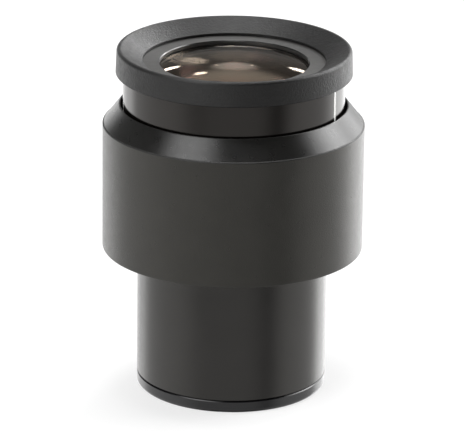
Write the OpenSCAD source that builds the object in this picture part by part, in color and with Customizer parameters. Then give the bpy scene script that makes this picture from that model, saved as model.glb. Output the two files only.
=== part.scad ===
// Telescope eyepiece, 1.25 in barrel, with a helical dioptre adjustment.
// Units: millimetres. The axis of the optics is +Z, toward the eye. Z = 0 is the face of the nose ring.
// The lens group slides on the guide tube without turning. The sleeve and the eyecup turn with the
// drive ring, whose four-start thread climbs in the nut and lifts the lens group with it.

/* [Display] */
// Which piece to draw: "all", or the name of one piece

/* [Barrel] */
// Outer diameter of the barrel, a 1.25 in telescope tube
barrel_diameter = 31.75; // [24:0.05:51]
// Height of the barrel's end, where the collar begins
shoulder_height = 24.2; // [18:0.1:40]
// Bore of the barrel
barrel_bore_diameter = 28.2; // [20:0.1:48]
// Thickness of the flange that closes the collar
barrel_flange_thickness = 3.5; // [2:0.1:6]
// Height of the step that carries the field stop
field_stop_height = 28.5; // [26:0.1:32]
// Diameter of the two key holes in the flange
key_hole_diameter = 1.6; // [1:0.1:3]

/* [Nose ring] */
// Height of the visible part of the nose ring
nose_ring_height = 2; // [1.5:0.1:5]
// Height of the spigot inside the barrel
nose_spigot_height = 3.5; // [2:0.1:6]
// Diameter of the filter thread at its crests
filter_thread_diameter = 27.86; // [20:0.01:46]
// Radius of the rounded lower edge
nose_edge_radius = 0.6; // [0.2:0.05:1.2]
// Height of the groove between the nose ring and the barrel
seam_height = 0.16; // [0.05:0.01:0.4]
// Depth of that groove
seam_depth = 0.45; // [0.1:0.05:0.6]

/* [Collar] */
// Outer diameter of the collar
collar_diameter = 43.5; // [36:0.1:60]
// Height of the lower edge of the chamfer
chamfer_height = 45.7; // [40:0.05:47]
// Height of the rim
rim_height = 48.85; // [46:0.05:50]
// Outer diameter of the rim
rim_diameter = 38.1; // [37.9:0.05:43]
// Bore of the rim
rim_bore_diameter = 37.56; // [37.5:0.02:38]

/* [Focusing thread] */
// Travel per full turn of the sleeve
thread_lead = 8; // [2:0.5:12]
// Number of thread starts
thread_starts = 4; // [1:1:6]
// Crest diameter of the male thread
male_crest_diameter = 38.4; // [37.6:0.1:38.8]
// Root diameter of the male thread
male_root_diameter = 36.9; // [36.6:0.1:37.2]
// Half the width of a male ridge at its crest
male_crest_half = 0.3; // [0.2:0.05:0.4]
// Half the width of a male ridge at its root
male_root_half = 0.6; // [0.5:0.05:0.7]
// Clearance between crest and root
thread_radial_clearance = 0.3; // [0.1:0.05:0.4]
// Clearance along the axis on each flank
thread_flank_clearance = 0.15; // [0.05:0.01:0.25]

/* [Sleeve and eyecup] */
// Outer diameter of the sleeve
sleeve_diameter = 36.8; // [34:0.1:38]
// Bore of the sleeve
sleeve_bore_diameter = 35.2; // [33:0.1:36]
// Outer diameter of the eyecup at its lower edge
eyecup_diameter = 39.2; // [37.5:0.1:42]
// Height of the eyecup's lower edge
eyecup_lower_height = 54.25; // [53:0.05:55]
// Height of the eyecup's crest
eyecup_top_height = 58.42; // [58:0.02:60]
// Radius of the crest
eyecup_crest_radius = 0.55; // [0.4:0.05:1]
// Inner diameter where the eyecup's cone ends
eyecup_inner_diameter = 30.3; // [27:0.1:32]
// Height where the cone ends
eyecup_inner_height = 56.48; // [56.2:0.02:57]
// Width of an index line
index_line_width = 0.6; // [0.3:0.05:1]
// Angle of the first index line, from +X toward +Y
index_angle_first = -26; // [-180:1:180]
// Angle of the second index line
index_angle_second = -172; // [-180:1:180]

/* [Optics] */
// Edge diameter of the eye lens
eye_lens_diameter = 26.6; // [22:0.1:27]
// Radius of the eye lens's front surface
eye_lens_front_radius = 45; // [40:1:80]
// Radius of the eye lens's back surface
eye_lens_back_radius = 90; // [60:1:200]
// Height of the front surface's top
eye_lens_top = 57; // [56.5:0.1:57.1]
// Edge diameter of the doublet and of the field lens
inner_lens_diameter = 25.8; // [22:0.1:25.8]
// Radius of the doublet's upper surface
doublet_front_radius = 32; // [28:1:60]
// Radius of the cemented surface
doublet_cement_radius = 24; // [22:1:60]
// Radius of the field lens's upper surface
field_lens_radius = 45; // [35:1:90]
// Aperture of the field stop
field_stop_aperture = 21.5; // [12:0.1:26]
// Aperture of the glare baffle
baffle_aperture = 24.8; // [20:0.1:27]

/* [Guides] */
// Number of guide screws and of keyways
guide_count = 3; // [2:1:4]
// Height of the guide screws
guide_screw_height = 40; // [38:0.1:42]
// Travel of the lens group below its rest position
travel_down = 4.5; // [2:0.1:4.6]
// Travel of the lens group above its rest position
travel_up = 1.5; // [0.5:0.1:1.6]
// Diameter of a guide screw's thread
guide_screw_diameter = 2.44; // [1.6:0.02:3]
// Diameter of a guide screw's dog point
guide_dog_diameter = 2; // [1.4:0.1:2.2]

/* [Hidden] */
$fn = 96;

// Outside radii
barrel_r = barrel_diameter / 2;
collar_r = collar_diameter / 2;
rim_r = rim_diameter / 2;
rim_bore_r = rim_bore_diameter / 2;
sleeve_r = sleeve_diameter / 2;
sleeve_bore_r = sleeve_bore_diameter / 2;
eyecup_r = eyecup_diameter / 2;

// Barrel and what it holds
barrel_bore_r = barrel_bore_diameter / 2;
nose_spigot_r = barrel_bore_r + 0.75;
nose_spigot_top = nose_ring_height + nose_spigot_height;
nose_counterbore_top = nose_spigot_top + 0.1;
nose_bore_r = filter_thread_diameter / 2;
field_stop_thickness = 0.9;
stop_ring_inner_r = 14.6;
stop_ring_thickness = 1.2;
baffle_height = 12.4;
baffle_thickness = 0.6;
baffle_seat_r = barrel_bore_r + 0.4;
collar_inner_r = 20.2;
flange_r = collar_inner_r - 0.05;
flange_top = shoulder_height + barrel_flange_thickness;
guide_outer_r = 17.3;
guide_inner_r = 16.25;
guide_top = 46.5;
o_ring_groove_half = 0.55;
key_circle_r = 18.1;
o_ring_radius = 0.45;
o_ring_centre_r = sleeve_bore_r - 0.04 - o_ring_radius;
o_ring_height = 44.9;
o_ring_groove_r = o_ring_centre_r - o_ring_radius - 0.01;

// Nut and drive ring
nut_r = collar_inner_r - 0.03;
nut_blank_r = 17;
nut_low = 36;
nut_high = 43.5;
lock_low = 33.5;
lock_inner_r = 19.6;
lip_low = 45.6;
relief_r = 19.75;
drive_low = 36.5;
drive_thread_low = 38.5;
drive_high = 43.48;
drive_collar_r = 18.5;
lap_r = 18;
lap_low = 36.9;
drive_screw_height = 37.7;
drive_screw_r = 0.6;
drive_screw_count = 3;
axial_turn = 360 / thread_lead;
male_crest_r = male_crest_diameter / 2;
male_root_r = male_root_diameter / 2;
flank_slope = (male_root_half - male_crest_half) / (male_crest_r - male_root_r);
female_root_r = male_crest_r + thread_radial_clearance;
female_crest_r = male_root_r + thread_radial_clearance + 0.05;
female_root_half = male_crest_half - flank_slope * (female_root_r - male_crest_r) + thread_flank_clearance;
female_crest_half = male_crest_half + flank_slope * (male_crest_r - female_crest_r) + thread_flank_clearance;

// Lens group
cell_r = guide_inner_r - 0.1;
cell_low = 35.5;
cell_shoulder = 52.05;
cell_neck_r = 15.1;
cell_top = 54.93;
cell_bore_r = inner_lens_diameter / 2 + 0.05;
cell_land_r = 12.2;
cell_land_low = 47.95;
cell_land_high = 51.6;
eye_lens_r = eye_lens_diameter / 2;
eye_bore_r = eye_lens_r + 0.1;
eye_thread_low = 54;
eye_thread_r = 14.05;
inner_lens_r = inner_lens_diameter / 2;
eye_lens_back = 50.8;
crown_top = 50.3;
crown_back = 42.6;
flint_gap = 0.02;
flint_low = 40.3;
spacer_r = 11.9;
spacer_low = 37.75;
field_lens_top = 39.3;
field_lens_low = 36.6;
field_ring_inner_r = 11.6;
washer_thickness = 0.25;
sleeve_flange_low = cell_shoulder + washer_thickness + 0.02;
sleeve_flange_high = 54.6;
sleeve_flange_r = 15.3;
ring_flange_low = 54.95;
ring_flange_high = 56;
ring_flange_r = 16.2;
ring_open_r = 12.32;
ring_lip_low = 55.36;
sleeve_top = 55.25;
sleeve_recess_r = 16.5;
index_low = 44.4;
index_high = 54;
eyecup_seat_r = 17.2;
slot_half = guide_dog_diameter / 2 + 0.05;
slot_low = guide_screw_height - travel_up - 0.1;
slot_high = guide_screw_height + travel_down + 0.1;
slot_floor_r = 15.1;
dog_tip_r = 15.3;
bead_height = 54.75;

// Angles of the evenly spaced screws
function guide_angle(i) = 90 + 360 / guide_count * i;
function drive_screw_angle(i) = 30 + 360 / drive_screw_count * i;

// A ring swept from a closed outline of [radius, height] points
module turned(outline) {
    rotate_extrude()
        polygon(outline);
}

// A plain ring between two radii and two heights
module ring(inner_r, outer_r, low, high) {
    turned([[inner_r, low], [outer_r, low], [outer_r, high], [inner_r, high]]);
}

// A radial drilling or pin that starts at one radius and ends at another
module radial(r, from_r, to_r, height, angle) {
    rotate([0, 0, angle])
        translate([from_r, 0, height])
            rotate([0, 90, 0])
                cylinder(r = r, h = to_r - from_r, $fn = 48);
}

// A lens with a domed front. A flat back has radius 0.
module lens(edge_r, top, top_radius, back, back_radius) {
    rotate_extrude()
        intersection() {
            translate([0, back])
                square([edge_r, top - back]);
            translate([0, top - top_radius])
                circle(r = top_radius, $fn = 180);
            if (back_radius > 0)
                translate([0, back + back_radius])
                    circle(r = back_radius, $fn = 180);
        }
}

// Points of one arc, from angle a to angle b
function arc(r, a, b, n) = [for (i = [0 : n]) let (t = a + (b - a) * i / n) [r * cos(t), r * sin(t)]];

// Section across the axis of a thread: ridges or grooves of the half widths given at two radii
function thread_section(crest_r, root_r, crest_half, root_half, crest_n, root_n) = [
    for (k = [0 : thread_starts - 1])
        let (
            mid = 360 / thread_starts * k,
            pitch = thread_lead / thread_starts,
            crest_a = crest_half * axial_turn,
            root_a = root_half * axial_turn,
            flank_r = (crest_r + root_r) / 2,
            flank_a = (crest_a + root_a) / 2
        )
        each concat(
            arc(crest_r, mid - crest_a, mid + crest_a, crest_n),
            arc(flank_r, mid + flank_a, mid + flank_a, 1),
            arc(root_r, mid + root_a, mid + pitch * axial_turn - root_a, root_n),
            arc(flank_r, mid + pitch * axial_turn - flank_a, mid + pitch * axial_turn - flank_a, 1)
        )
];

// A thread form between two heights, in mesh with every other one made here
module thread(section, low, high, step) {
    translate([0, 0, low])
        rotate([0, 0, axial_turn * low])
            linear_extrude(height = high - low, twist = -axial_turn * (high - low),
                           slices = ceil(axial_turn * (high - low) / step))
                polygon(section);
}

module barrel() {
    color([0.06, 0.06, 0.065])
    difference() {
        turned([
            [nose_spigot_r + 0.05, nose_ring_height],
            [barrel_r - seam_depth, nose_ring_height],
            [barrel_r - seam_depth, nose_ring_height + seam_height],
            [barrel_r - 0.08, nose_ring_height + seam_height],
            [barrel_r, nose_ring_height + seam_height + 0.08],
            [barrel_r, shoulder_height],
            [flange_r - 0.15, shoulder_height],
            [flange_r, shoulder_height + 0.15],
            [flange_r, flange_top],
            [guide_outer_r, flange_top],
            [guide_outer_r, o_ring_height - o_ring_groove_half],
            [o_ring_groove_r, o_ring_height - o_ring_groove_half],
            [o_ring_groove_r, o_ring_height + o_ring_groove_half],
            [guide_outer_r, o_ring_height + o_ring_groove_half],
            [guide_outer_r, guide_top - 0.3],
            [guide_outer_r - 0.3, guide_top],
            [guide_inner_r + 0.2, guide_top],
            [guide_inner_r, guide_top - 0.2],
            [guide_inner_r, field_stop_height],
            [barrel_bore_r, field_stop_height],
            [barrel_bore_r, baffle_height + baffle_thickness],
            [baffle_seat_r, baffle_height + baffle_thickness],
            [baffle_seat_r, baffle_height],
            [barrel_bore_r, baffle_height - 0.4],
            [barrel_bore_r, nose_counterbore_top],
            [nose_spigot_r + 0.05, nose_counterbore_top]
        ]);
        for (i = [0 : guide_count - 1])
            radial(guide_screw_diameter / 2 + 0.02, guide_inner_r - 1, guide_outer_r + 1, guide_screw_height,
                   guide_angle(i));
        for (a = [0, 180])
            rotate([0, 0, a])
                translate([key_circle_r, 0, shoulder_height - 1])
                    cylinder(d = key_hole_diameter, h = 2.6, $fn = 32);
    }
}

module nose_ring() {
    color([0.05, 0.05, 0.055])
    rotate_extrude()
        union() {
            polygon([
                [nose_bore_r + 0.4, 0],
                [barrel_r - nose_edge_radius, 0],
                [barrel_r - nose_edge_radius, nose_edge_radius],
                [barrel_r, nose_edge_radius],
                [barrel_r, nose_ring_height - 0.14],
                [barrel_r - 0.14, nose_ring_height],
                [nose_spigot_r, nose_ring_height],
                [nose_spigot_r, nose_spigot_top - 0.15],
                [nose_spigot_r - 0.15, nose_spigot_top],
                [nose_bore_r, nose_spigot_top],
                [nose_bore_r, 0.4]
            ]);
            translate([barrel_r - nose_edge_radius, nose_edge_radius])
                circle(r = nose_edge_radius, $fn = 64);
        }
}

module glare_baffle() {
    color([0.03, 0.03, 0.03])
    turned([
        [baffle_aperture / 2, baffle_height + 0.02],
        [baffle_seat_r - 0.03, baffle_height + 0.02],
        [baffle_seat_r - 0.03, baffle_height + baffle_thickness - 0.02],
        [baffle_aperture / 2 + 0.4, baffle_height + baffle_thickness - 0.02]
    ]);
}

module field_stop() {
    color([0.03, 0.03, 0.03])
    turned([
        [field_stop_aperture / 2 + 0.7, field_stop_height],
        [guide_inner_r - 0.03, field_stop_height],
        [guide_inner_r - 0.03, field_stop_height + field_stop_thickness],
        [field_stop_aperture / 2, field_stop_height + field_stop_thickness],
        [field_stop_aperture / 2, field_stop_height + field_stop_thickness - 0.15]
    ]);
}

module field_stop_ring() {
    low = field_stop_height + field_stop_thickness;
    color([0.03, 0.03, 0.03])
    difference() {
        ring(stop_ring_inner_r, guide_inner_r - 0.03, low, low + stop_ring_thickness);
        for (a = [0, 180])
            rotate([0, 0, a])
                translate([stop_ring_inner_r - 1, -0.5, low + stop_ring_thickness / 2])
                    cube([4, 1, 2]);
    }
}

module collar() {
    color([0.13, 0.13, 0.125])
    turned([
        [collar_inner_r, shoulder_height],
        [collar_r - 0.18, shoulder_height],
        [collar_r - 0.05, shoulder_height + 0.05],
        [collar_r, shoulder_height + 0.18],
        [collar_r, chamfer_height - 0.25],
        [collar_r - 0.06, chamfer_height - 0.1],
        [collar_r - 0.22, chamfer_height],
        [rim_r + 0.06, rim_height - 0.09],
        [rim_r, rim_height - 0.03],
        [rim_r - 0.06, rim_height],
        [rim_bore_r + 0.06, rim_height],
        [rim_bore_r, rim_height - 0.06],
        [rim_bore_r, lip_low],
        [relief_r, lip_low],
        [relief_r, nut_high],
        [collar_inner_r, nut_high]
    ]);
}

module helicoid_nut() {
    color([0.72, 0.58, 0.3])
    difference() {
        ring(nut_blank_r, nut_r, nut_low, nut_high);
        thread(thread_section(female_root_r, female_crest_r, female_root_half, female_crest_half, 4, 5),
               nut_low - 0.5, nut_high + 0.5, 8);
    }
}

module nut_lock_ring() {
    color([0.72, 0.58, 0.3])
    difference() {
        ring(lock_inner_r, nut_r, lock_low, nut_low);
        for (i = [0 : 3])
            rotate([0, 0, 45 + 90 * i])
                translate([19, -0.75, lock_low - 1])
                    cube([2, 1.5, 1.8]);
    }
}

module guide_screws() {
    color([0.6, 0.6, 0.62])
    for (i = [0 : guide_count - 1]) {
        angle = guide_angle(i);
        difference() {
            union() {
                radial(guide_screw_diameter / 2, guide_inner_r - 0.02, guide_outer_r - 0.1, guide_screw_height,
                       angle);
                radial(guide_dog_diameter / 2, dog_tip_r, guide_outer_r - 0.3, guide_screw_height, angle);
            }
            rotate([0, 0, angle])
                translate([guide_outer_r - 0.5, -2, guide_screw_height - 0.2])
                    cube([1, 4, 0.4]);
        }
    }
}

module drag_o_ring() {
    color([0.04, 0.04, 0.04])
    rotate_extrude()
        translate([o_ring_centre_r, o_ring_height])
            circle(r = o_ring_radius, $fn = 32);
}

module lens_cell() {
    color([0.05, 0.05, 0.05])
    difference() {
        turned([
            [cell_bore_r, cell_low],
            [cell_r - 0.3, cell_low],
            [cell_r, cell_low + 0.3],
            [cell_r, cell_shoulder],
            [cell_neck_r, cell_shoulder],
            [cell_neck_r, cell_top],
            [eye_thread_r, cell_top],
            [eye_thread_r, eye_thread_low],
            [eye_bore_r, eye_thread_low],
            [eye_bore_r, cell_land_high],
            [cell_land_r, cell_land_high],
            [cell_land_r, cell_land_low],
            [cell_bore_r, cell_land_low]
        ]);
        for (i = [0 : guide_count - 1]) {
            angle = guide_angle(i);
            radial(slot_half, slot_floor_r, 18, slot_low, angle);
            radial(slot_half, slot_floor_r, 18, slot_high, angle);
            rotate([0, 0, angle])
                translate([slot_floor_r, -slot_half, slot_low])
                    cube([3, 2 * slot_half, slot_high - slot_low]);
        }
    }
}

module eye_lens() {
    color([0.55, 0.45, 0.5, 0.4])
    lens(eye_lens_r, eye_lens_top, eye_lens_front_radius, eye_lens_back, eye_lens_back_radius);
}

module eye_lens_ring() {
    color([0.09, 0.09, 0.09])
    turned([
        [eye_lens_r + 0.12, eye_thread_low + 0.1],
        [eye_thread_r - 0.07, eye_thread_low + 0.1],
        [eye_thread_r - 0.07, ring_flange_low],
        [ring_flange_r, ring_flange_low],
        [ring_flange_r, ring_flange_high - 0.15],
        [ring_flange_r - 0.15, ring_flange_high],
        [ring_open_r + 0.14, ring_flange_high],
        [ring_open_r, ring_flange_high - 0.12],
        [ring_open_r, ring_lip_low],
        [eye_lens_r + 0.12, ring_lip_low - 0.3]
    ]);
}

module doublet_crown() {
    color([0.6, 0.7, 0.75, 0.4])
    lens(inner_lens_r, crown_top, doublet_front_radius, crown_back, doublet_cement_radius);
}

module doublet_flint() {
    color([0.6, 0.65, 0.7, 0.4])
    rotate_extrude()
        difference() {
            translate([0, flint_low])
                square([inner_lens_r, 6]);
            translate([0, crown_back - flint_gap + doublet_cement_radius])
                circle(r = doublet_cement_radius, $fn = 180);
        }
}

module lens_spacer() {
    color([0.03, 0.03, 0.03])
    ring(spacer_r, inner_lens_r, spacer_low, flint_low);
}

module field_lens() {
    color([0.6, 0.7, 0.72, 0.4])
    lens(inner_lens_r, field_lens_top, field_lens_radius, field_lens_low, 0);
}

module field_lens_ring() {
    color([0.04, 0.04, 0.04])
    difference() {
        ring(field_ring_inner_r, inner_lens_r + 0.03, cell_low + 0.02, field_lens_low);
        for (a = [0, 180])
            rotate([0, 0, a])
                translate([field_ring_inner_r - 0.6, -0.6, cell_low - 1])
                    cube([3, 1.2, 1.6]);
    }
}

module thrust_washer_lower() {
    color([0.85, 0.84, 0.78])
    ring(cell_neck_r + 0.1, cell_r - 0.05, cell_shoulder, cell_shoulder + washer_thickness);
}

module thrust_washer_upper() {
    color([0.85, 0.84, 0.78])
    ring(cell_neck_r + 0.1, cell_r - 0.05, sleeve_flange_high + 0.02, ring_flange_low);
}

module focus_sleeve() {
    color([0.09, 0.09, 0.09])
    difference() {
        turned([
            [sleeve_bore_r, lap_low],
            [lap_r, lap_low],
            [lap_r, nut_high],
            [sleeve_r, nut_high],
            [sleeve_r, bead_height - 0.2],
            [sleeve_r - 0.2, bead_height],
            [sleeve_r, bead_height + 0.2],
            [sleeve_r, sleeve_top - 0.1],
            [sleeve_r - 0.1, sleeve_top],
            [sleeve_recess_r, sleeve_top],
            [sleeve_recess_r, sleeve_flange_high],
            [sleeve_flange_r, sleeve_flange_high],
            [sleeve_flange_r, sleeve_flange_low],
            [sleeve_bore_r, sleeve_flange_low]
        ]);
        for (a = [index_angle_first, index_angle_second])
            rotate([0, 0, a])
                translate([sleeve_r - 0.12, -index_line_width / 2, index_low])
                    cube([1, index_line_width, index_high - index_low]);
        for (i = [0 : drive_screw_count - 1])
            radial(drive_screw_r + 0.02, sleeve_bore_r - 0.6, lap_r + 1, drive_screw_height,
                   drive_screw_angle(i));
    }
}

module index_lines() {
    color([0.92, 0.92, 0.9])
    for (a = [index_angle_first, index_angle_second])
        intersection() {
            ring(sleeve_r - 0.11, sleeve_r - 0.01, index_low + 0.02, index_high - 0.02);
            rotate([0, 0, a])
                translate([sleeve_r - 2, 0.01 - index_line_width / 2, index_low])
                    cube([4, index_line_width - 0.02, index_high - index_low]);
        }
}

module drive_ring() {
    color([0.72, 0.58, 0.3])
    difference() {
        union() {
            ring(nut_blank_r, drive_collar_r, drive_low, drive_thread_low);
            thread(thread_section(male_crest_r, male_root_r, male_crest_half, male_root_half, 3, 4),
                   drive_thread_low, drive_high, 9);
        }
        translate([0, 0, drive_low - 1])
            cylinder(r = sleeve_bore_r, h = 10);
        translate([0, 0, lap_low - 0.02])
            cylinder(r = lap_r + 0.02, h = 10);
        for (i = [0 : drive_screw_count - 1])
            radial(drive_screw_r + 0.02, lap_r - 0.2, lap_r + 1, drive_screw_height, drive_screw_angle(i));
    }
}

module drive_ring_screws() {
    color([0.6, 0.6, 0.62])
    for (i = [0 : drive_screw_count - 1])
        difference() {
            radial(drive_screw_r, sleeve_bore_r + 0.05, drive_collar_r - 0.06, drive_screw_height,
                   drive_screw_angle(i));
            rotate([0, 0, drive_screw_angle(i)])
                translate([drive_collar_r - 0.25, -1, drive_screw_height - 0.1])
                    cube([1, 2, 0.2]);
        }
}

module eyecup() {
    inner_r = eyecup_inner_diameter / 2;
    wall_r = eyecup_r - 0.13;
    crest_r = wall_r - eyecup_crest_radius;
    crest_z = eyecup_top_height - eyecup_crest_radius;
    // The cone meets the rounded crest at a tangent
    rise = crest_z - eyecup_inner_height;
    run = crest_r - inner_r;
    cone_angle = atan2(rise, run) + asin(eyecup_crest_radius / sqrt(rise * rise + run * run));
    underside = ring_flange_high + 0.08;
    color([0.1, 0.1, 0.1])
    turned(concat(
        [[sleeve_r + 0.02, eyecup_lower_height + 0.1],
         [sleeve_r + 0.12, eyecup_lower_height],
         [eyecup_r - 0.12, eyecup_lower_height],
         [eyecup_r, eyecup_lower_height + 0.12]],
        [for (p = arc(eyecup_crest_radius, 0, 90 + cone_angle, 16)) [crest_r + p[0], crest_z + p[1]]],
        [[inner_r, eyecup_inner_height],
         [inner_r, underside],
         [eyecup_seat_r, underside],
         [eyecup_seat_r, sleeve_top + 0.02],
         [sleeve_r + 0.02, sleeve_top + 0.02],
         [sleeve_r + 0.02, bead_height + 0.2],
         [sleeve_r - 0.14, bead_height],
         [sleeve_r + 0.02, bead_height - 0.2]]
    ));
}

barrel();
nose_ring();
glare_baffle();
field_stop();
field_stop_ring();
collar();
helicoid_nut();
nut_lock_ring();
guide_screws();
drag_o_ring();
lens_cell();
eye_lens();
eye_lens_ring();
doublet_crown();
doublet_flint();
lens_spacer();
field_lens();
field_lens_ring();
thrust_washer_lower();
thrust_washer_upper();
focus_sleeve();
index_lines();
drive_ring();
drive_ring_screws();
eyecup();
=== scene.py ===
import math

import bmesh
import bpy
from mathutils import Matrix, Vector


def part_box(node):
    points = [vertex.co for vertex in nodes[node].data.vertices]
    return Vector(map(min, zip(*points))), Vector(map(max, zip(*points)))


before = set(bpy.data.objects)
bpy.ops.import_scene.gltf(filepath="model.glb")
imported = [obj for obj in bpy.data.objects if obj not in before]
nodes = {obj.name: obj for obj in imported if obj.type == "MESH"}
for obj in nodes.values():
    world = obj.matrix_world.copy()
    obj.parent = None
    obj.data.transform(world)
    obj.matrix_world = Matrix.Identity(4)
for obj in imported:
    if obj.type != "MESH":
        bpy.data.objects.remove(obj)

MM = 0.001
TAU = 2 * math.pi
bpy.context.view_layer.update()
scene = bpy.context.scene


# ---------------------------------------------------------------- shader helpers

def new_material(name):
    mat = bpy.data.materials.new(name)
    mat.use_nodes = True
    nt = mat.node_tree
    nt.nodes.clear()
    out = nt.nodes.new("ShaderNodeOutputMaterial")
    bsdf = nt.nodes.new("ShaderNodeBsdfPrincipled")
    nt.links.new(bsdf.outputs["BSDF"], out.inputs["Surface"])
    return mat, nt, bsdf


def object_coords(nt):
    return nt.nodes.new("ShaderNodeTexCoord").outputs["Object"]


def math_node(nt, operation, *values):
    """A math node. Each value is a socket or a number."""
    node = nt.nodes.new("ShaderNodeMath")
    node.operation = operation
    for socket, value in zip(node.inputs, values):
        if isinstance(value, (int, float)):
            socket.default_value = value
        else:
            nt.links.new(value, socket)
    return node.outputs[0]


def noise(nt, vector, scale, detail=3.0, rough=0.55):
    node = nt.nodes.new("ShaderNodeTexNoise")
    node.inputs["Scale"].default_value = scale
    node.inputs["Detail"].default_value = detail
    node.inputs["Roughness"].default_value = rough
    nt.links.new(vector, node.inputs["Vector"])
    return node.outputs["Fac"]


def remap(nt, value, low, high, ends):
    """Takes value from the range between the two ends to the range from low to high."""
    node = nt.nodes.new("ShaderNodeMapRange")
    node.inputs["From Min"].default_value = ends[0]
    node.inputs["From Max"].default_value = ends[1]
    node.inputs["To Min"].default_value = low
    node.inputs["To Max"].default_value = high
    nt.links.new(value, node.inputs["Value"])
    return node.outputs["Result"]


def bump(nt, bsdf, height, distance, strength):
    node = nt.nodes.new("ShaderNodeBump")
    node.inputs["Strength"].default_value = strength
    node.inputs["Distance"].default_value = distance
    nt.links.new(height, node.inputs["Height"])
    nt.links.new(node.outputs["Normal"], bsdf.inputs["Normal"])


def mottle(nt, bsdf, fac, dark, light, ends=(0.3, 0.7)):
    """Base colour that drifts from dark to light as fac goes from one end to the other."""
    node = nt.nodes.new("ShaderNodeValToRGB")
    for stop, position, colour in zip(node.color_ramp.elements, ends, (dark, light)):
        stop.position = position
        stop.color = (*colour, 1.0)
    nt.links.new(fac, node.inputs["Fac"])
    nt.links.new(node.outputs["Color"], bsdf.inputs["Base Color"])


def uneven_roughness(nt, bsdf, fac, low, high, ends=(0.3, 0.7)):
    nt.links.new(remap(nt, fac, low, high, ends), bsdf.inputs["Roughness"])


def radial_tangent(nt, bsdf, amount):
    """Turned grooves run round the axis, and highlights stretch across them."""
    node = nt.nodes.new("ShaderNodeTangent")
    node.direction_type = "RADIAL"
    node.axis = "Z"
    nt.links.new(node.outputs["Tangent"], bsdf.inputs["Tangent"])
    bsdf.inputs["Anisotropic"].default_value = amount
    bsdf.inputs["Anisotropic Rotation"].default_value = 0.25


# ---------------------------------------------------------------- materials

WHITE = (1.0, 1.0, 1.0, 1.0)
WARM = (1.0, 0.98, 0.92, 1.0)
BROWN = (1.0, 0.95, 0.90, 1.0)
TURNED_DEPTH = 0.006 * MM
MOULDED_DEPTH = 0.04 * MM
PLAIN_DEPTH = 0.01 * MM
FILM_IOR = 1.38  # magnesium fluoride


def anodised(name, dark, light, rough_low, rough_high, grain=0.0, turned=0.0, spec=0.5,
             grain_scale=9000, tint=WHITE, brushed=0.0, metallic=0.0):
    """Near-black dyed aluminium, or bare metal where metallic is 1. grain and turned weigh the relief."""
    mat, nt, bsdf = new_material(name)
    vec = object_coords(nt)
    mottle(nt, bsdf, noise(nt, vec, 160, 4.0), dark, light)
    # turning marks: a noise that varies with the height and the distance from the axis, and not round it
    place = nt.nodes.new("ShaderNodeSeparateXYZ")
    nt.links.new(vec, place.inputs["Vector"])
    across = nt.nodes.new("ShaderNodeCombineXYZ")
    nt.links.new(place.outputs["X"], across.inputs["X"])
    nt.links.new(place.outputs["Y"], across.inputs["Y"])
    from_axis = nt.nodes.new("ShaderNodeVectorMath")
    from_axis.operation = "LENGTH"
    nt.links.new(across.outputs["Vector"], from_axis.inputs[0])
    profile = nt.nodes.new("ShaderNodeCombineXYZ")
    nt.links.new(from_axis.outputs["Value"], profile.inputs["X"])
    nt.links.new(place.outputs["Z"], profile.inputs["Z"])
    marks = noise(nt, profile.outputs["Vector"], 5200, 3.0)
    grains = remap(nt, noise(nt, vec, grain_scale, 2.0), 0.0, 1.0, (0.38, 0.62))
    relief = math_node(nt, "MULTIPLY_ADD", marks, turned, math_node(nt, "MULTIPLY", grains, grain))
    bump(nt, bsdf, relief, TURNED_DEPTH, 0.6)
    uneven_roughness(nt, bsdf, noise(nt, vec, 700, 5.0, 0.65), rough_low, rough_high)
    bsdf.inputs["Specular IOR Level"].default_value = spec
    bsdf.inputs["Specular Tint"].default_value = tint
    bsdf.inputs["Metallic"].default_value = metallic
    if brushed:
        radial_tangent(nt, bsdf, brushed)
    return mat


def moulded(name, dark, light, rough_low, rough_high):
    """Moulded black polymer with a fine spark-eroded grain."""
    mat, nt, bsdf = new_material(name)
    vec = object_coords(nt)
    mottle(nt, bsdf, noise(nt, vec, 220, 4.0), dark, light)
    cells = nt.nodes.new("ShaderNodeTexVoronoi")
    cells.feature = "SMOOTH_F1"
    cells.inputs["Scale"].default_value = 5200
    cells.inputs["Smoothness"].default_value = 0.6
    nt.links.new(vec, cells.inputs["Vector"])
    fine = remap(nt, noise(nt, vec, 2600, 4.0), 0.0, 1.0, (0.36, 0.64))
    relief = math_node(nt, "MULTIPLY_ADD", cells.outputs["Distance"], 0.6, fine)
    bump(nt, bsdf, relief, MOULDED_DEPTH, 0.55)
    uneven_roughness(nt, bsdf, noise(nt, vec, 900, 5.0), rough_low, rough_high)
    bsdf.inputs["Specular IOR Level"].default_value = 0.42
    return mat


def glass(name, tint, ior, film):
    """Coated optical glass. The thin film, film nanometres thick, gives the reflections their colour."""
    mat, nt, bsdf = new_material(name)
    vec = object_coords(nt)
    bsdf.inputs["Transmission Weight"].default_value = 1.0
    bsdf.inputs["IOR"].default_value = ior
    bsdf.inputs["Thin Film Thickness"].default_value = film
    bsdf.inputs["Thin Film IOR"].default_value = FILM_IOR
    mottle(nt, bsdf, noise(nt, vec, 90, 3.0), tint, tuple(min(1, c * 1.01) for c in tint))
    uneven_roughness(nt, bsdf, noise(nt, vec, 2400, 6.0, 0.7), 0.0, 0.018, (0.55, 0.9))
    return mat


def coating(name, colour, share):
    """A coated surface inside the optics: light passes almost straight, and a little comes back tinted."""
    mat, nt, bsdf = new_material(name)
    vec = object_coords(nt)
    deeper = tuple(c * (0.9 + 0.1 * c) for c in colour)
    mottle(nt, bsdf, noise(nt, vec, 120, 3.0), colour, deeper, (0.35, 0.65))
    uneven_roughness(nt, bsdf, noise(nt, vec, 1500, 5.0), 0.0, 0.03, (0.5, 0.8))
    bsdf.inputs["Transmission Weight"].default_value = 1.0
    bsdf.inputs["IOR"].default_value = 1.03
    bsdf.inputs["Metallic"].default_value = share
    return mat


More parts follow.
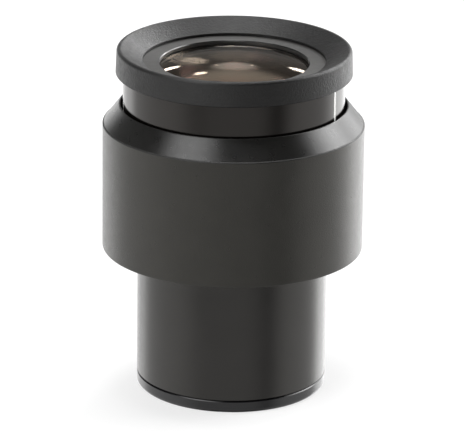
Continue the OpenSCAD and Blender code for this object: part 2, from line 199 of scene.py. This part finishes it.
def plain(name, dark, light, rough_low, rough_high, scale=500):
    """Paint, polymer or rubber."""
    mat, nt, bsdf = new_material(name)
    vec = object_coords(nt)
    mottle(nt, bsdf, noise(nt, vec, scale, 4.0), dark, light)
    bump(nt, bsdf, noise(nt, vec, scale * 9, 3.0), PLAIN_DEPTH, 0.3)
    uneven_roughness(nt, bsdf, noise(nt, vec, scale * 1.7, 4.0), rough_low, rough_high)
    return mat


def table_top(name, dark, light, scale, rough):
    """A matt grey surface. dark and light are grey values."""
    mat, nt, bsdf = new_material(name)
    mottle(nt, bsdf, noise(nt, object_coords(nt), scale, 2.0), (dark,) * 3, (light,) * 3)
    bsdf.inputs["Roughness"].default_value = rough
    return mat, bsdf


collar_satin = anodised("collar_satin", (0.0100, 0.0095, 0.0082), (0.0138, 0.0130, 0.0112), 0.27, 0.34,
                        grain=2.2, turned=1.0, grain_scale=6500, tint=WARM)
collar_turned = anodised("collar_turned", (0.0085, 0.0083, 0.0078), (0.0120, 0.0117, 0.0110), 0.26, 0.33,
                         grain=0.8, turned=2.0, grain_scale=6500, brushed=0.7)
rim_black = anodised("rim_black", (0.010, 0.010, 0.0095), (0.015, 0.0148, 0.014), 0.28, 0.36, turned=0.6)
barrel_satin = anodised("barrel_satin", (0.0080, 0.0074, 0.0075), (0.0112, 0.0104, 0.0104), 0.20, 0.27,
                        grain=1.2, turned=0.8, grain_scale=4200, tint=WARM)
nose_gloss = anodised("nose_gloss", (0.0055, 0.0054, 0.0060), (0.0080, 0.0078, 0.0086), 0.16, 0.24,
                      turned=0.5)
sleeve_gloss = anodised("sleeve_gloss", (0.0030, 0.0024, 0.0021), (0.0044, 0.0037, 0.0033), 0.12, 0.18,
                        turned=0.3, spec=0.46, tint=BROWN)
lens_ring_turned = anodised("lens_ring_turned", (0.0440, 0.0430, 0.0410), (0.0560, 0.0545, 0.0520),
                            0.30, 0.40, turned=1.0, brushed=0.6)
lens_ring_edge = anodised("lens_ring_edge", (0.010, 0.010, 0.010), (0.016, 0.016, 0.015), 0.10, 0.16,
                          turned=0.3, spec=0.9)
edge_break = anodised("edge_break", (0.010, 0.010, 0.009), (0.014, 0.0138, 0.013), 0.44, 0.54, spec=0.42)
cell_matt = anodised("cell_matt", (0.004, 0.004, 0.004), (0.007, 0.007, 0.007), 0.42, 0.55,
                     grain=0.6, spec=0.3)
black_paint = anodised("black_paint", (0.002, 0.002, 0.002), (0.004, 0.004, 0.004), 0.65, 0.85,
                       grain=1.5, spec=0.15)
brass = anodised("brass_turned", (0.62, 0.42, 0.17), (0.76, 0.55, 0.26), 0.22, 0.34,
                 turned=1.0, brushed=0.5, metallic=1.0)
steel = anodised("screw_steel", (0.42, 0.42, 0.43), (0.58, 0.58, 0.6), 0.22, 0.34,
                 turned=1.0, brushed=0.2, metallic=1.0)
eyecup_moulded = moulded("eyecup_moulded", (0.0048, 0.0046, 0.0044), (0.0074, 0.0071, 0.0068), 0.38, 0.50)
front_glass = glass("eye_lens_glass", (0.93, 0.93, 0.93), 1.62, 88)
crown_glass = glass("crown_glass", (0.93, 0.92, 0.90), 1.60, 84)
flint_glass = glass("flint_glass", (0.93, 0.93, 0.92), 1.70, 92)
amber_coating = coating("amber_coating", (0.95, 0.76, 0.58), 0.035)
pink_coating = coating("pink_coating", (0.95, 0.70, 0.82), 0.008)
clear_exit = coating("clear_exit", (0.95, 0.95, 0.95), 0.004)
white_fill = plain("index_fill", (0.80, 0.80, 0.78), (0.90, 0.90, 0.88), 0.45, 0.6, 1500)
polymer = plain("washer_polymer", (0.62, 0.60, 0.52), (0.74, 0.72, 0.64), 0.35, 0.5)
rubber = plain("o_ring_rubber", (0.008, 0.008, 0.008), (0.014, 0.014, 0.014), 0.25, 0.45)

finish = {
    "barrel": barrel_satin, "nose_ring": nose_gloss, "glare_baffle": black_paint, "field_stop": black_paint,
    "field_stop_ring": black_paint, "collar": collar_satin, "helicoid_nut": brass, "nut_lock_ring": brass,
    "guide_screws": steel, "drag_o_ring": rubber, "lens_cell": cell_matt, "eye_lens": front_glass,
    "eye_lens_ring": lens_ring_turned, "doublet_crown": crown_glass, "doublet_flint": flint_glass,
    "lens_spacer": black_paint, "field_lens": crown_glass, "field_lens_ring": black_paint,
    "thrust_washer_lower": polymer, "thrust_washer_upper": polymer, "focus_sleeve": sleeve_gloss,
    "index_lines": white_fill, "drive_ring": brass, "drive_ring_screws": steel, "eyecup": eyecup_moulded,
}
for name, mat in finish.items():
    slots = nodes[name].data.materials
    slots.clear()
    slots.append(mat)


# ---------------------------------------------------------------- faces with a finish of their own

CHAMFER_INNER_R = 18.9 * MM
EDGE_BREAK_WIDTH = 0.23 * MM
RIM_EDGE_DEPTH = 0.1 * MM
RING_BEVEL_DEPTH = 0.2 * MM
RING_BEVEL_R = 13 * MM
LENS_EDGE_R = 12 * MM
UPRIGHT = 0.02  # a lens face whose normal's z is smaller than this belongs to the lens's ground edge


def faces_where(node, mat, test):
    """Gives a CAD node's faces that pass test(normal, centre, radius) another material."""
    me = nodes[node].data
    me.materials.append(mat)
    index = len(me.materials) - 1
    for p in me.polygons:
        c = p.center
        if test(p.normal, c, math.hypot(c.x, c.y)):
            p.material_index = index


rim_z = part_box("collar")[1].z
collar_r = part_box("collar")[1].x
ring_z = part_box("eye_lens_ring")[1].z
faces_where("collar", collar_turned, lambda n, c, r: 0.2 < n.z < 0.9 and r > CHAMFER_INNER_R)
faces_where("collar", edge_break, lambda n, c, r: 0.2 < n.z and r > collar_r - EDGE_BREAK_WIDTH)
faces_where("collar", rim_black, lambda n, c, r: n.z > 0.3 and c.z > rim_z - RIM_EDGE_DEPTH)
faces_where("eye_lens_ring", lens_ring_edge,
            lambda n, c, r: 0.1 < n.z < 0.95 and c.z > ring_z - RING_BEVEL_DEPTH and r < RING_BEVEL_R)
for node in ("eye_lens", "doublet_crown", "doublet_flint", "field_lens"):
    faces_where(node, black_paint, lambda n, c, r: abs(n.z) < UPRIGHT and r > LENS_EDGE_R)
faces_where("eye_lens", amber_coating, lambda n, c, r: n.z < -UPRIGHT)
faces_where("doublet_crown", pink_coating, lambda n, c, r: n.z > UPRIGHT)
faces_where("doublet_crown", clear_exit, lambda n, c, r: n.z < -UPRIGHT)
faces_where("doublet_flint", clear_exit, lambda n, c, r: abs(n.z) > UPRIGHT)
faces_where("field_lens", clear_exit, lambda n, c, r: n.z < -UPRIGHT)


# ---------------------------------------------------------------- table

RING_SIDES = 128
TABLE_R = 3.0
SHADE_INSET = 1.0 * MM


def flat_ring(name, inner, outer, mat):
    """A flat ring on the ground, or a disc where the inner radius is 0."""
    bm = bmesh.new()
    corners = [(math.cos(TAU * i / RING_SIDES), math.sin(TAU * i / RING_SIDES)) for i in range(RING_SIDES)]
    rims = [[bm.verts.new((r * x, r * y, 0)) for x, y in corners] for r in (inner, outer) if r > 0]
    if inner == 0:
        bm.faces.new(rims[0])
    else:
        for i in range(RING_SIDES):
            j = (i + 1) % RING_SIDES
            bm.faces.new((rims[0][i], rims[1][i], rims[1][j], rims[0][j]))
    me = bpy.data.meshes.new(name)
    bm.to_mesh(me)
    bm.free()
    me.materials.append(mat)
    ob = bpy.data.objects.new(name, me)
    scene.collection.objects.link(ob)
    return ob


# Most of the table's brightness is its own glow, so it reads as a lit white sweep with a soft shadow.
# The disc under the nose ring, where the part stands, doesn't glow.
floor_white, bsdf = table_top("floor_white", 0.33, 0.35, 6, 0.6)
bsdf.inputs["Specular IOR Level"].default_value = 0.0
bsdf.inputs["Emission Color"].default_value = WHITE
bsdf.inputs["Emission Strength"].default_value = 0.66
table_shade, _ = table_top("table_under_part", 0.30, 0.34, 60, 0.7)
shade_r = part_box("nose_ring")[1].x - SHADE_INSET
floor = flat_ring("floor", shade_r, TABLE_R, floor_white)
floor.visible_glossy = False
flat_ring("floor_under_nose", 0, shade_r, table_shade)


# ---------------------------------------------------------------- light

# Soft studio lights, all part of the world: name, azimuth from the front toward the right, elevation and
# half width in degrees, and strength. The floor is hidden from reflections, which see the lights below the
# horizon in its place. They stand for the lit white table around the part.
SOFT_LIGHTS = [
    ("right window", 125, 15, 30, 3.7),
    ("right upper window", 110, 33, 18, 5.4),
    ("back right box", 152, 29, 9, 11.0),
    ("right table", 95, -30, 40, 1.2),
    ("right back table", 150, -22, 22, 2.3),
    ("left upper box", 308, 50, 19, 4.8),
    ("left strip", 325, 12, 18, 2.9),
    ("left table", 270, -25, 45, 1.2),
    ("left back table", 207, -16, 26, 1.4),
    ("front table", 0, -32, 40, 0.75),
    ("overhead box", 180, 84, 12, 11.0),
    ("back left overhead", 240, 68, 9, 4.0),
    ("back ceiling", 180, 46, 14, 1.7),
    ("back wall", 180, 18, 45, 0.24),
    ("back card", 180, 29, 4, 1.5),
    ("back lamp left", 191, 22, 1.5, 14.0),
    ("back lamp upper", 188, 34, 1.3, 14.0),
    ("back lamp right", 169, 22, 1.5, 14.0),
]
EDGE_POWER = 3.0  # the higher it is, the shorter a light's soft border
BACKDROP = 1.0

world = bpy.data.worlds.new("studio")
scene.world = world
world.use_nodes = True
nt = world.node_tree
sky = nt.nodes.new("ShaderNodeTexCoord").outputs["Generated"]
total = None
for name, azimuth, elevation, half_width, strength in SOFT_LIGHTS:
    az, el = math.radians(azimuth), math.radians(elevation)
    focus = 1 / (1 - math.cos(math.radians(half_width)))
    dot = nt.nodes.new("ShaderNodeVectorMath")
    dot.operation = "DOT_PRODUCT"
    dot.label = name
    nt.links.new(sky, dot.inputs[0])
    dot.inputs[1].default_value = (math.cos(el) * math.sin(az), -math.cos(el) * math.cos(az), math.sin(el))
    # spread is 0 at the light's centre and 1 at its half width, where the strength has fallen to 1/e
    spread = math_node(nt, "MULTIPLY", math_node(nt, "SUBTRACT", 1.0, dot.outputs["Value"]), focus)
    fall = math_node(nt, "MULTIPLY", math_node(nt, "POWER", spread, EDGE_POWER), -1.0)
    light = math_node(nt, "MULTIPLY", math_node(nt, "EXPONENT", fall), strength)
    total = light if total is None else math_node(nt, "ADD", total, light)
# the camera itself sees a plain white backdrop
path = nt.nodes.new("ShaderNodeLightPath")
away = math_node(nt, "MULTIPLY", math_node(nt, "SUBTRACT", BACKDROP, total), path.outputs["Is Camera Ray"])
background = nt.nodes["Background"]
nt.links.new(math_node(nt, "ADD", total, away), background.inputs["Strength"])
background.inputs["Color"].default_value = WHITE


# ---------------------------------------------------------------- camera

CAMERA_AT = Vector((0, -0.63112, 0.24874))
CAMERA_LENS = 310.25
CAMERA_PITCH = 0.3354
CAMERA_ROLL = 0.0122
HALF_PIXEL = 0.5 / 464  # as a share of the picture's width

cam_data = bpy.data.cameras.new("camera")
cam = bpy.data.objects.new("camera", cam_data)
scene.collection.objects.link(cam)
cam_data.sensor_width = 36.0
cam_data.lens = CAMERA_LENS
cam_data.clip_start = 0.01
cam_data.clip_end = 20.0
cam_data.shift_x = -HALF_PIXEL
cam_data.shift_y = HALF_PIXEL
forward = Vector((0, math.cos(CAMERA_PITCH), -math.sin(CAMERA_PITCH)))
level = Vector((1, 0, 0))
upward = level.cross(forward)
right = math.cos(CAMERA_ROLL) * level + math.sin(CAMERA_ROLL) * upward
up = -math.sin(CAMERA_ROLL) * level + math.cos(CAMERA_ROLL) * upward
turn = Matrix((right, up, -forward)).transposed().to_4x4()
cam.matrix_world = Matrix.Translation(CAMERA_AT) @ turn
scene.camera = cam
scene.view_settings.view_transform = "Standard"
scene.view_settings.look = "None"
